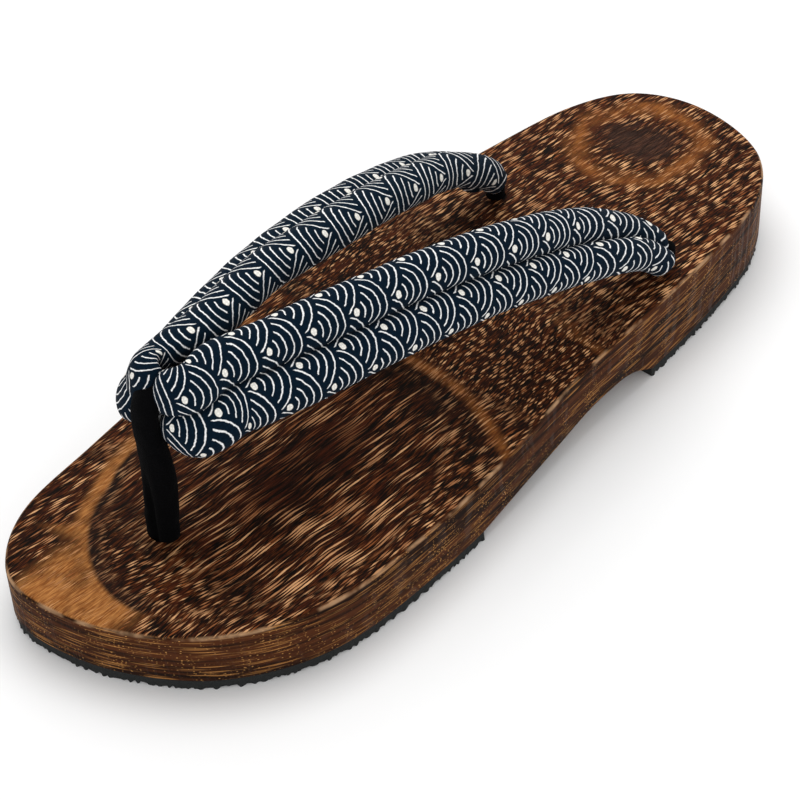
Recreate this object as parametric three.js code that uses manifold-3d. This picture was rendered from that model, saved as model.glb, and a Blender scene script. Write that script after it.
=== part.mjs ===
// Geta sandal for the left foot: a burnt wooden base on two rubber pads, with a padded fabric thong strap.
// Millimetres, +Z up. The toe points along -Y, the big toe is on the -X side, and the floor is z = 0.
import * as THREE from "three";
import { mergeVertices } from "three/addons/utils/BufferGeometryUtils.js";
import Module from "manifold-3d";

const wasm = await Module();
wasm.setup();

// Driving sizes
const soleLength = 280;
const pieceGap = 0.3; // between pieces that lie against each other
const padThickness = 3;
const padInset = 0.5; // the pads stop just inside the foot of the wood's wall
const wallLean = 0.014; // the wall draws in by this share of its depth below the top edge
const topRound = 1.4; // radius along the top edge
const footChamfer = 0.6; // along the lower edge
const outlineSteps = 104;
const spineReach = 92; // the faces run in to a line of this half length down the middle

// Sole outline. along goes from the toe at -1 to the heel at 1; left and right are the edges' X.
const outlineTable = [
  { along: -1, left: -16.1, right: -16.1 },
  { along: -0.955, left: -31.5, right: 11.3 },
  { along: -0.85, left: -40.6, right: 32.8 },
  { along: -0.65, left: -44.4, right: 48.4 },
  { along: -0.4, left: -48.1, right: 50.7 },
  { along: -0.15, left: -50.6, right: 48.3 },
  { along: 0.1, left: -50.3, right: 44.3 },
  { along: 0.35, left: -48.1, right: 42.3 },
  { along: 0.6, left: -44.9, right: 38.8 },
  { along: 0.8, left: -41.2, right: 32.5 },
  { along: 0.94, left: -31.9, right: 18.3 },
  { along: 1, left: -9.5, right: -9.5 },
];

// Height of the top face along the sole.
const topTable = [
  { y: -140, z: 19.3 },
  { y: -84, z: 21.7 },
  { y: -28, z: 22.8 },
  { y: 28, z: 26.9 },
  { y: 84, z: 26.7 },
  { y: 140, z: 24.1 },
];

// Height of the arch cut under the wood, from the toe pad's end to the heel pad's start.
// The rest lies on the pads.
const woodFoot = padThickness + pieceGap;
const postFootLift = 0.4; // the post and the cords stop this far above the wood's foot
const toePadEnd = -31.8;
const heelPadStart = 50.7;
const archTable = [
  { y: toePadEnd, z: woodFoot },
  { y: -15.3, z: 5.6 },
  { y: 5.3, z: 7.2 },
  { y: 26, z: 9.6 },
  { y: 40.8, z: 8.5 },
  { y: heelPadStart, z: woodFoot },
];

// The strap is folded behind the toe post and runs back as two arms, either side of a middle line that
// turns a little. path is the way along an arm, spread is off the middle line, and lean turns the band's
// face from up to sideways.
const postFoot = { x: -4.5, y: -100.8 };
const rearMiddle = { x: 2, y: 66 };
const outerArm = [
  { path: 0, y: -94.9, spread: 0, z: 60.5, lean: 88 },
  { path: 3.4, y: -96, spread: 3.2, z: 62.6, lean: 82 },
  { path: 6.6, y: -96.2, spread: 6.2, z: 64.2, lean: 76 },
  { path: 9.8, y: -94.3, spread: 8.9, z: 64.8, lean: 70 },
  { path: 13.4, y: -90.8, spread: 9.9, z: 65, lean: 66 },
  { path: 20.4, y: -83.9, spread: 9.9, z: 66, lean: 58 },
  { path: 29.6, y: -75, spread: 12.3, z: 66.3, lean: 52.5 },
  { path: 55.6, y: -50, spread: 17.5, z: 66.4, lean: 54.5 },
  { path: 85.6, y: -20, spread: 21.7, z: 64.6, lean: 58.5 },
  { path: 116.6, y: 10, spread: 25.1, z: 59.3, lean: 57.5 },
  { path: 145.6, y: 38, spread: 26.9, z: 49.3, lean: 37.5 },
  { path: 164.6, y: 54, spread: 27.6, z: 39.8, lean: 21 },
  { path: 183.6, y: 64, spread: 30.1, z: 29.3, lean: 13 },
];
const innerArm = [
  { path: 0, y: -94.9, spread: 0, z: 60.5, lean: 88 },
  { path: 3.4, y: -96, spread: 3.2, z: 62.6, lean: 82 },
  { path: 6.6, y: -96.2, spread: 6.2, z: 64.2, lean: 74 },
  { path: 9.8, y: -94.3, spread: 8.9, z: 64.8, lean: 67 },
  { path: 13.4, y: -90.8, spread: 9.9, z: 65, lean: 61 },
  { path: 20.4, y: -83.9, spread: 10.5, z: 66, lean: 56 },
  { path: 29.6, y: -75, spread: 11.8, z: 66.4, lean: 48 },
  { path: 55.6, y: -50, spread: 16.1, z: 67.9, lean: 41 },
  { path: 85.6, y: -20, spread: 19.7, z: 66.1, lean: 27 },
  { path: 116.6, y: 10, spread: 23.5, z: 61, lean: 22 },
  { path: 145.6, y: 38, spread: 27.7, z: 52.3, lean: 25 },
  { path: 164.6, y: 53.5, spread: 29.4, z: 42.5, lean: 23 },
  { path: 183.6, y: 63, spread: 30.9, z: 29.7, lean: 18 },
];

// Section of the band. squeeze is the share of the half thickness left on the inner side, which the fold
// presses flat.
const bandTable = [
  { path: 0, halfWidth: 6.5, halfThick: 3.4, squeeze: 0.6 },
  { path: 3.4, halfWidth: 9.4, halfThick: 4.2, squeeze: 0.45 },
  { path: 6.6, halfWidth: 12, halfThick: 4.9, squeeze: 0.35 },
  { path: 9.8, halfWidth: 12.9, halfThick: 5.2, squeeze: 0.4 },
  { path: 13.4, halfWidth: 13.1, halfThick: 5.3, squeeze: 0.6 },
  { path: 20.4, halfWidth: 13.1, halfThick: 5.5, squeeze: 0.9 },
  { path: 29.6, halfWidth: 13.1, halfThick: 5.7, squeeze: 1 },
  { path: 55.6, halfWidth: 13.2, halfThick: 5.75, squeeze: 1 },
  { path: 85.6, halfWidth: 12.7, halfThick: 5.75, squeeze: 1 },
  { path: 116.6, halfWidth: 11.8, halfThick: 5.7, squeeze: 1 },
  { path: 145.6, halfWidth: 10.5, halfThick: 5.3, squeeze: 1 },
  { path: 164.6, halfWidth: 8.9, halfThick: 4.8, squeeze: 1 },
  { path: 183.6, halfWidth: 7, halfThick: 4.2, squeeze: 1 },
];
const rearSkew = 4; // the outer arm ends this much further back than the middle, the inner arm as much less
const strapEndRound = 6; // the rear ends close over this length
const ringEasing = 5; // a ring of the band faces along this much path either side, so none cross in the fold
const strapSteps = 72;
const strapSides = 28;
const outerGroove = 0.45; // thickness left at the groove between the rolls, as a share of a roll's
const innerGroove = 0.72;

// Toe post: a folded strip of cloth, up from the wood, over the pinched fold of the strap and down behind it.
const postTable = [
  { path: 0, y: -100.8, z: woodFoot + postFootLift, halfWidth: 4, halfThick: 3.4, shift: 0 },
  { path: 17.3, y: -100.8, z: 21, halfWidth: 4.5, halfThick: 3.8, shift: 0 },
  { path: 28.3, y: -100.5, z: 32, halfWidth: 4.6, halfThick: 4, shift: 0.3 },
  { path: 39.3, y: -100.3, z: 43, halfWidth: 4.6, halfThick: 3.9, shift: 0.5 },
  { path: 48.3, y: -100.8, z: 52, halfWidth: 4.1, halfThick: 3.5, shift: 0 },
  { path: 56.9, y: -101.6, z: 60.6, halfWidth: 3.8, halfThick: 2.9, shift: -0.6 },
  { path: 61.4, y: -100.9, z: 65, halfWidth: 3.9, halfThick: 2.5, shift: -0.8 },
  { path: 65.7, y: -98.2, z: 68.3, halfWidth: 4.1, halfThick: 2.2, shift: -1 },
  { path: 70, y: -94.2, z: 69.4, halfWidth: 4.1, halfThick: 2.1, shift: -1 },
  { path: 74, y: -90.8, z: 67.6, halfWidth: 3.9, halfThick: 2.1, shift: -1 },
  { path: 78, y: -89, z: 64, halfWidth: 3.6, halfThick: 2, shift: -1 },
];
const postSteps = 34;
const postSides = 20;
const postCrease = 0.6;

// Rear cords: from inside the strap's end down through the wood.
const cordRadius = 2.8;
const cordTop = 32.5;
const cordInward = 1.5; // from the strap's tip, towards the middle of the sole
const cordBehind = 2;
const cordSides = 14;

// A smooth curve through one column of a table, read at any place between its rows.
function through(rows, placeKey, valueKey) {
  const place = rows.map((row) => row[placeKey]);
  const value = rows.map((row) => row[valueKey]);
  const last = rows.length - 1;
  const rise = (i) => (value[i + 1] - value[i]) / (place[i + 1] - place[i]);
  const slope = value.map((unused, i) => {
    if (i === 0) return rise(0);
    if (i === last) return rise(last - 1);
    const before = place[i] - place[i - 1];
    const after = place[i + 1] - place[i];
    return (rise(i - 1) * after + rise(i) * before) / (before + after);
  });
  return (at) => {
    let i = 0;
    while (i < last - 1 && at > place[i + 1]) i++;
    const span = place[i + 1] - place[i];
    const t = THREE.MathUtils.clamp((at - place[i]) / span, 0, 1);
    const turn = t * t * (3 - 2 * t);
    const bend = span * t * (1 - t) * (slope[i] * (1 - t) - slope[i + 1] * t);
    return value[i] * (1 - turn) + value[i + 1] * turn + bend;
  };
}

// One closed body in manifold form, and back again.
function toSolid(geometry) {
  const bare = new THREE.BufferGeometry();
  const whole = geometry.index ? geometry.toNonIndexed() : geometry;
  bare.setAttribute("position", whole.getAttribute("position"));
  const merged = mergeVertices(bare);
  return new wasm.Manifold(
    new wasm.Mesh({
      numProp: 3,
      vertProperties: merged.getAttribute("position").array,
      triVerts: new Uint32Array(merged.index.array),
    }),
  );
}

function toGeometry(solid) {
  const mesh = solid.getMesh();
  const geometry = new THREE.BufferGeometry();
  geometry.setAttribute("position", new THREE.BufferAttribute(mesh.vertProperties, 3));
  geometry.setIndex(new THREE.BufferAttribute(mesh.triVerts, 1));
  return geometry;
}

// Triangles between neighbouring rings of points, without those that shrink to a line.
function skin(rings, ends) {
  const corners = [];
  const triangle = (a, b, c) => {
    const size = b.clone().sub(a).cross(c.clone().sub(a)).length();
    if (size > 1e-6) corners.push(a, b, c);
  };
  for (let r = 0; r + 1 < rings.length; r++) {
    const low = rings[r];
    const high = rings[r + 1];
    low.forEach((point, i) => {
      const next = (i + 1) % low.length;
      triangle(point, low[next], high[next]);
      triangle(point, high[next], high[i]);
    });
  }
  for (const [ring, middle, turned] of ends) {
    ring.forEach((point, i) => {
      const next = ring[(i + 1) % ring.length];
      if (turned) triangle(middle, next, point);
      else triangle(middle, point, next);
    });
  }
  return new THREE.BufferGeometry().setFromPoints(corners);
}

// Sole outline: turn goes once round it, from the toe along the +X side to the heel and back along -X.
const fullTurn = 2 * Math.PI;
const turnAt = (y) => Math.acos(THREE.MathUtils.clamp(-y / (soleLength / 2), -1, 1));
const rightKnots = outlineTable.map((row) => ({ turn: turnAt((row.along * soleLength) / 2), x: row.right }));
const leftKnots = outlineTable
  .slice(1, -1)
  .reverse()
  .map((row) => ({ turn: fullTurn - turnAt((row.along * soleLength) / 2), x: row.left }));
const lap = [...rightKnots, ...leftKnots];
const movedLap = (knots, turns) => knots.map((knot) => ({ turn: knot.turn + turns * fullTurn, x: knot.x }));
const edgeX = through([...movedLap(lap.slice(-2), -1), ...lap, ...movedLap(lap.slice(0, 2), 1)], "turn", "x");
const outlinePoint = (turn) => new THREE.Vector2(edgeX(turn), (-soleLength / 2) * Math.cos(turn));

function drawnIn(turn, inset) {
  const step = 0.01;
  const wrap = (angle) => (angle + fullTurn) % fullTurn;
  const ahead = outlinePoint(wrap(turn + step));
  const along = ahead.sub(outlinePoint(wrap(turn - step))).normalize();
  return outlinePoint(turn).add(new THREE.Vector2(-along.y, along.x).multiplyScalar(inset));
}

function spinePoint(y) {
  const held = THREE.MathUtils.clamp(y, -spineReach, spineReach);
  const turn = turnAt(held);
  return new THREE.Vector2((edgeX(turn) + edgeX(fullTurn - turn)) / 2, held);
}

const topHeight = through(topTable, "y", "z");
const underHeight = through(archTable, "y", "z");

// Wooden base: under face, lower chamfer, leaning wall, rounded top edge and top face, ring by ring.
function woodBlock() {
  const even = Array.from({ length: outlineSteps }, (unused, i) => (i * fullTurn) / outlineSteps);
  const archTurns = archTable.map((row) => turnAt(row.y));
  const turns = [...even, ...archTurns, ...archTurns.map((turn) => fullTurn - turn)].sort((a, b) => a - b);
  const ring = (inset, height, share) =>
    turns.map((turn) => {
      const edge = drawnIn(turn, inset);
      const point = edge.lerp(spinePoint(outlinePoint(turn).y), share);
      return new THREE.Vector3(point.x, point.y, height(point.y));
    });
  const depth = topHeight(0) - woodFoot;
  const footInset = wallLean * depth;
  const roundStep = (angle) => [topRound * (1 - Math.cos(angle)), topRound * (1 - Math.sin(angle))];
  const shares = [0.75, 0.5, 0.25];
  const rings = [ring(footInset + footChamfer, underHeight, 1)];
  for (const share of shares) rings.push(ring(footInset + footChamfer, underHeight, share));
  rings.push(ring(footInset + footChamfer, underHeight, 0));
  rings.push(ring(footInset, (y) => underHeight(y) + footChamfer, 0));
  for (const angle of [0, Math.PI / 4, Math.PI / 2]) {
    const [inset, drop] = roundStep(angle);
    rings.push(ring(inset, (y) => topHeight(y) - drop, 0));
  }
  for (const share of [...shares].reverse()) rings.push(ring(topRound, topHeight, share));
  rings.push(ring(topRound, topHeight, 1));
  return toSolid(skin(rings, []));
}

// Rubber pad under the part of the sole between two turns.
function padGeometry(from, to, steps) {
  const inset = wallLean * topHeight(0) + padInset;
  const points = [];
  for (let i = 0; i <= steps; i++) {
    const turn = from + ((to - from) * i) / steps;
    points.push(drawnIn((turn + fullTurn) % fullTurn, inset));
  }
  return new THREE.ExtrudeGeometry(new THREE.Shape(points), { depth: padThickness, bevelEnabled: false });
}

// Strap: a band of two padded rolls with a groove between them.
const bothArms = (inner, outer, key, sign) => [
  ...inner
    .slice(1)
    .reverse()
    .map((row) => ({ path: -row.path, value: sign * row[key] })),
  ...outer.map((row) => ({ path: row.path, value: row[key] })),
];
const armCurve = (key, sign) => through(bothArms(innerArm, outerArm, key, sign), "path", "value");
const bandCurve = (key) => through(bothArms(bandTable, bandTable, key, 1), "path", "value");
const strapY = armCurve("y", 1);
const strapSpread = armCurve("spread", -1);
const strapZ = armCurve("z", 1);
const strapLean = armCurve("lean", 1);
const strapHalfWidth = bandCurve("halfWidth");
const strapHalfThick = bandCurve("halfThick");
const strapSqueeze = bandCurve("squeeze");
const armLength = bandTable[bandTable.length - 1].path;

function middleX(y) {
  const share = (y - postFoot.y) / (rearMiddle.y - postFoot.y);
  return postFoot.x + (rearMiddle.x - postFoot.x) * share;
}

function strapCentre(path) {
  const y = strapY(path);
  const skew = rearSkew * Math.sign(path) * (path / armLength) ** 2;
  return new THREE.Vector3(middleX(y) + strapSpread(path), y + skew, strapZ(path));
}

// Height of a roll's skin over the band's middle plane, across the band from -1 to 1.
function rollHeight(across, groove) {
  const offRoll = 2 * Math.abs(across) - 1;
  const pinch = offRoll < 0 ? 1 - groove * groove : 1;
  return Math.sqrt(Math.max(0, 1 - offRoll * offRoll * pinch));
}

function strapRing(path) {
  const forward = strapCentre(path + ringEasing).sub(strapCentre(path - ringEasing)).normalize();
  const outward = new THREE.Vector3(forward.y, -forward.x, 0).normalize();
  const lean = THREE.MathUtils.degToRad(strapLean(path));
  const face = outward.multiplyScalar(Math.sin(lean)).add(new THREE.Vector3(0, 0, Math.cos(lean)));
  face.addScaledVector(forward, -face.dot(forward)).normalize();
  const across = face.clone().cross(forward);
  const fromEnd = armLength - Math.abs(path);
  const closing = Math.min(1, fromEnd / strapEndRound);
  const swell = Math.sqrt(1 - (1 - closing) ** 2);
  const centre = strapCentre(path);
  return Array.from({ length: strapSides }, (unused, i) => {
    const angle = (i * fullTurn) / strapSides;
    const side = Math.cos(angle);
    const outer = i < strapSides / 2;
    const pressed = -rollHeight(side, innerGroove) * strapSqueeze(path);
    const height = outer ? rollHeight(side, outerGroove) : pressed;
    return centre
      .clone()
      .addScaledVector(across, side * strapHalfWidth(path) * swell)
      .addScaledVector(face, height * strapHalfThick(path) * swell);
  });
}

function strapSolid() {
  const closeSteps = [0.25, 1, 2.3, 4];
  const reach = armLength - strapEndRound;
  const body = Array.from({ length: strapSteps + 1 }, (unused, i) => {
    const share = (2 * i) / strapSteps - 1;
    return reach * Math.sign(share) * Math.abs(share) ** 1.5; // closer together at the fold
  });
  const ends = closeSteps.map((distance) => armLength - distance);
  const paths = [...ends.map((path) => -path), ...body, ...ends.reverse()];
  const rings = paths.map(strapRing);
  const first = strapCentre(-armLength);
  const last = strapCentre(armLength);
  return toSolid(skin(rings, [[rings[0], first, true], [rings[rings.length - 1], last, false]]));
}

// Toe post: a two-lobed column that bends back at the top, or the room that it takes when it is grown.
const postY = through(postTable, "path", "y");
const postZ = through(postTable, "path", "z");
const postHalfWidth = through(postTable, "path", "halfWidth");
const postHalfThick = through(postTable, "path", "halfThick");
const postShift = through(postTable, "path", "shift");
const postLength = postTable[postTable.length - 1].path;

function postSolid(grow) {
  const step = 0.5;
  const rings = Array.from({ length: postSteps + 1 }, (unused, i) => {
    const path = (postLength * i) / postSteps;
    const ahead = new THREE.Vector2(postY(path + step), postZ(path + step));
    const way = ahead.sub(new THREE.Vector2(postY(path - step), postZ(path - step))).normalize();
    const past = i === 0 ? -grow : i === postSteps ? grow : 0;
    return Array.from({ length: postSides }, (unusedToo, k) => {
      const angle = (k * fullTurn) / postSides;
      const crease = 1 - (1 - postCrease) * Math.exp(-((Math.cos(angle) / 0.3) ** 2));
      const out = (postHalfThick(path) + grow) * crease * Math.sin(angle);
      return new THREE.Vector3(
        postFoot.x + postShift(path) + (postHalfWidth(path) + grow) * Math.cos(angle),
        postY(path) + out * way.y + past * way.x,
        postZ(path) - out * way.x + past * way.y,
      );
    });
  });
  const sum = (ring) => ring.reduce((total, point) => total.add(point), new THREE.Vector3());
  const middle = (ring) => sum(ring).divideScalar(postSides);
  const last = rings[postSteps];
  return toSolid(skin(rings, [[rings[0], middle(rings[0]), true], [last, middle(last), false]]));
}

// Rear cord, a plain round rod at the strap's end, or the room that it takes when it is grown.
function cordSolid(side, grow) {
  const tip = strapCentre(side * armLength);
  const low = woodFoot + postFootLift - grow;
  const high = cordTop + grow;
  const straight = cordTop - woodFoot - postFootLift - 2 * cordRadius;
  const rod = new THREE.CapsuleGeometry(cordRadius + grow, straight, 4, cordSides);
  rod.rotateX(Math.PI / 2);
  rod.translate(tip.x - side * cordInward, tip.y + cordBehind, (low + high) / 2);
  return toSolid(rod);
}

const post = postSolid(0);
const cordOuter = cordSolid(1, 0);
const cordInner = cordSolid(-1, 0);
const postRoom = postSolid(pieceGap);
const rooms = [postRoom, cordSolid(1, pieceGap), cordSolid(-1, pieceGap)];
const wood = rooms.reduce((solid, room) => solid.subtract(room), woodBlock());
const strap = rooms.reduce((solid, room) => solid.subtract(room), strapSolid());

const padTurnToe = turnAt(toePadEnd);
const padTurnHeel = turnAt(heelPadStart);

const materials = {
  wood: { color: 0x4a2c1b, roughness: 0.7 },
  rubber: { color: 0x1b1d1d, roughness: 0.9 },
  cotton: { color: 0x14263b, roughness: 0.9 },
  felt: { color: 0x0c0c0c, roughness: 1 },
};

const sandal = new THREE.Group();

function addPiece(name, geometry, material) {
  const finish = new THREE.MeshStandardMaterial({ ...materials[material], metalness: 0 });
  const mesh = new THREE.Mesh(geometry, finish);
  mesh.name = name;
  sandal.add(mesh);
}

addPiece("wood_base", toGeometry(wood), "wood");
addPiece("toe_rubber", padGeometry(-padTurnToe, padTurnToe, 48), "rubber");
addPiece("heel_rubber", padGeometry(padTurnHeel, fullTurn - padTurnHeel, 40), "rubber");
addPiece("strap_upper", toGeometry(strap), "cotton");
addPiece("toe_post", toGeometry(post), "felt");
addPiece("rear_cord_outer", toGeometry(cordOuter), "felt");
addPiece("rear_cord_inner", toGeometry(cordInner), "felt");

export default sandal;
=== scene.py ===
import bpy
import math
from functools import partial
from mathutils import Matrix, Vector, noise
from mathutils.kdtree import KDTree


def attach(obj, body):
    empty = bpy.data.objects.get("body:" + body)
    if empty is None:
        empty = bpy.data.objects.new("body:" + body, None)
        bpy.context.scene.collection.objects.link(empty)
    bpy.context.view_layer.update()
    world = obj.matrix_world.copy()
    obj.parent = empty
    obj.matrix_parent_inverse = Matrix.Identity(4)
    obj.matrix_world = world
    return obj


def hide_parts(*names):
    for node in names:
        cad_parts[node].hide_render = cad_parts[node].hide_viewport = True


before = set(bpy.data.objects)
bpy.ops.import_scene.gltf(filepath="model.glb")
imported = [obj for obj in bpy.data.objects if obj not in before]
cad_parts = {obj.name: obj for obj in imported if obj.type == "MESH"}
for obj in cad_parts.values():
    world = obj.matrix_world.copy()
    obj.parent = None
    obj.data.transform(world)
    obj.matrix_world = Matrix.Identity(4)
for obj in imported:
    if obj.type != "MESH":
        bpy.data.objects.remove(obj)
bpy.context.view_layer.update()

# Geta sandal for the left foot: burnt paulownia on rubber pads, with a padded cotton strap.
# Sizes are in millimetres in the dictionaries and are turned to metres where a vertex is placed.
print("frame loaded")
mm = 0.001


def smoothCurve(knots):
    # a curve through (place, value) pairs, read at any place between them
    places = [knot[0] for knot in knots]
    values = [knot[1] for knot in knots]
    last = len(knots) - 1
    rise = [(values[i + 1] - values[i]) / (places[i + 1] - places[i]) for i in range(last)]
    slope = [rise[0]]
    for i in range(1, last):
        before = places[i] - places[i - 1]
        after = places[i + 1] - places[i]
        slope.append((rise[i - 1] * after + rise[i] * before) / (before + after))
    slope.append(rise[-1])

    def read(at):
        i = 0
        while i < last - 1 and at > places[i + 1]:
            i += 1
        span = places[i + 1] - places[i]
        t = min(1.0, max(0.0, (at - places[i]) / span))
        turn = t * t * (3 - 2 * t)
        bend = span * t * (1 - t) * (slope[i] * (1 - t) - slope[i + 1] * t)
        return values[i] * (1 - turn) + values[i + 1] * turn + bend

    return read


def pickNone():
    bpy.ops.object.select_all(action="DESELECT")


def pickOnly(piece):
    # the operators act on all that is selected, so only this piece is
    if bpy.context.object and bpy.context.object.mode != "OBJECT":
        bpy.ops.object.mode_set(mode="OBJECT")
    pickNone()
    piece.select_set(True)
    bpy.context.view_layer.objects.active = piece


def editAll(piece):
    pickOnly(piece)
    bpy.ops.object.mode_set(mode="EDIT")
    bpy.ops.mesh.select_all(action="SELECT")


def faceOutward():
    # the piece in edit mode gets its normals outward, and is left
    bpy.ops.mesh.select_all(action="SELECT")
    bpy.ops.mesh.normals_make_consistent(inside=False)
    bpy.ops.object.mode_set(mode="OBJECT")


def pickEdges(piece, test):
    editAll(piece)
    bpy.ops.mesh.select_mode(type="EDGE")
    bpy.ops.mesh.select_all(action="DESELECT")
    bpy.ops.object.mode_set(mode="OBJECT")
    corners = piece.data.vertices
    for edge in piece.data.edges:
        edge.select = test(corners[edge.vertices[0]].co, corners[edge.vertices[1]].co)
    bpy.ops.object.mode_set(mode="EDIT")


def applyAll(piece):
    pickOnly(piece)
    for modifier in list(piece.modifiers):
        bpy.ops.object.modifier_apply(modifier=modifier.name)


def finishPiece(piece, node, material):
    # place, turn and size go into the mesh, then the piece takes its node's part
    pickOnly(piece)
    bpy.ops.object.transform_apply(location=True, rotation=True, scale=True)
    piece.data.materials.clear()
    piece.data.materials.append(material)
    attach(piece, "root")
    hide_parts(node)
    return piece


# Camera first
cameraSettings = {
    "target": (3.73, -16.58, 15.0), "azimuth": 44.32, "elevation": 41.87, "roll": 2.7,
    "distance": 758.32, "lens": 120.3, "sensor": 36, "nearest": 10, "furthest": 20000,
}


def placeCamera(settings):
    azimuth = math.radians(settings["azimuth"])
    elevation = math.radians(settings["elevation"])
    level = math.cos(elevation)
    back = Vector((math.sin(azimuth) * level, -math.cos(azimuth) * level, math.sin(elevation)))
    right = Vector((math.cos(azimuth), math.sin(azimuth), 0))
    up = back.cross(right)
    roll = math.radians(settings["roll"])
    rolledRight = right * math.cos(roll) - up * math.sin(roll)
    rolledUp = right * math.sin(roll) + up * math.cos(roll)
    place = Vector(settings["target"]) + back * settings["distance"]
    bpy.ops.object.camera_add(location=place * mm)
    camera = bpy.context.object
    axes = (rolledRight, rolledUp, back)
    turn = [[axes[column][row] for column in range(3)] for row in range(3)]
    camera.rotation_mode = "QUATERNION"
    camera.rotation_quaternion = Matrix(turn).to_quaternion()
    camera.data.lens = settings["lens"]
    camera.data.sensor_width = settings["sensor"]
    camera.data.clip_start = settings["nearest"] * mm
    camera.data.clip_end = settings["furthest"] * mm
    bpy.context.scene.camera = camera


placeCamera(cameraSettings)
print("camera placed")


# Materials

def linearColour(hexText):
    # an sRGB hex value as the linear colour that the nodes want
    parts = [int(hexText[i:i + 2], 16) / 255 for i in (1, 3, 5)]
    parts = [c / 12.92 if c <= 0.04045 else ((c + 0.055) / 1.055) ** 2.4 for c in parts]
    return (*parts, 1)


def newMaterial(name):
    material = bpy.data.materials.new(name)
    material.use_nodes = True
    material.node_tree.nodes.clear()
    return material


def addNode(tree, kind, sockets=None, out=0, **settings):
    # one node with its settings, and with values or links on its sockets
    node = tree.nodes.new("ShaderNode" + kind)
    for name, value in settings.items():
        setattr(node, name, value)
    for socket, value in (sockets or {}).items():
        if isinstance(value, bpy.types.NodeSocket):
            tree.links.new(value, node.inputs[socket])
        else:
            node.inputs[socket].default_value = value
    return node.outputs[out] if node.outputs else node


def chainValues(tree, operation, first, *others):
    # values worked together one after another: multiplied, added, or the largest kept
    for value in others:
        first = addNode(tree, "Math", {0: first, 1: value}, operation=operation)
    return first


# settings that many nodes share
smoothly = {"interpolation_type": "SMOOTHSTEP"}
colourMix = {"out": 2, "data_type": "RGBA"}


# Paulownia, planed, scorched black, wire brushed and oiled. Brushing leaves the fibres standing as golden
# needles in the charred soft wood, and the growth rings that the flat cut crosses show as smooth tan ovals.
woodLook = {
    "dark": "#0a0401", "brown": "#431b09", "needleLow": "#80431c", "needleHigh": "#e8b07c",
    "ring": "#743c18", "ringPale": "#b06e34", "tan": "#854b1e", "tanPale": "#bf8146",
    # "edge" is the colour of the painted highlight along the rounded top edge
    "char": "#1a100b", "smoky": "#4b3227", "edge": "#c39a74",
    "wallDark": "#190a04", "wall": "#4d2812", "wallPale": "#a9743f", "speck": "#d39a58",
    # middle x, middle y, half width and half length of the ovals on the top face, in millimetres
    "heelOval": (-12, 110.5, 19.6, 22.5), "foreOval": (6, -68, 42, 57.5), "outerOval": (39.3, 52, 26, 27),
    "heelHeart": (-13, 111, 14, 13.5), "foreHeart": (8, -58, 13, 28),
    # width and length of a needle's cell in millimetres, its greatest size, its slant in degrees, a seed
    "plain": (0.75, 6.2, 0.53, 3, 11.0), "dashes": (0.75, 3.4, 0.47, 0, 23.0),
    "ahead": (0.85, 5.5, 0.43, 14, 37.0), "long": (0.85, 17.0, 0.47, 2, 51.0),
    "toe": (0.75, 8.0, 0.46, 8, 91.0), "hairs": (0.4, 4.5, 0.5, 0, 71.0),
    # how strongly each smooth ring shows
    "heelRing": 0.8075, "waistRing": 0.57, "outerRing": 0.38,
    # brushed relief in metres, and gloss of the ground and of the needles
    "relief": 0.0004, "groundRough": 0.65, "needleRough": 0.45,
}


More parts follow.
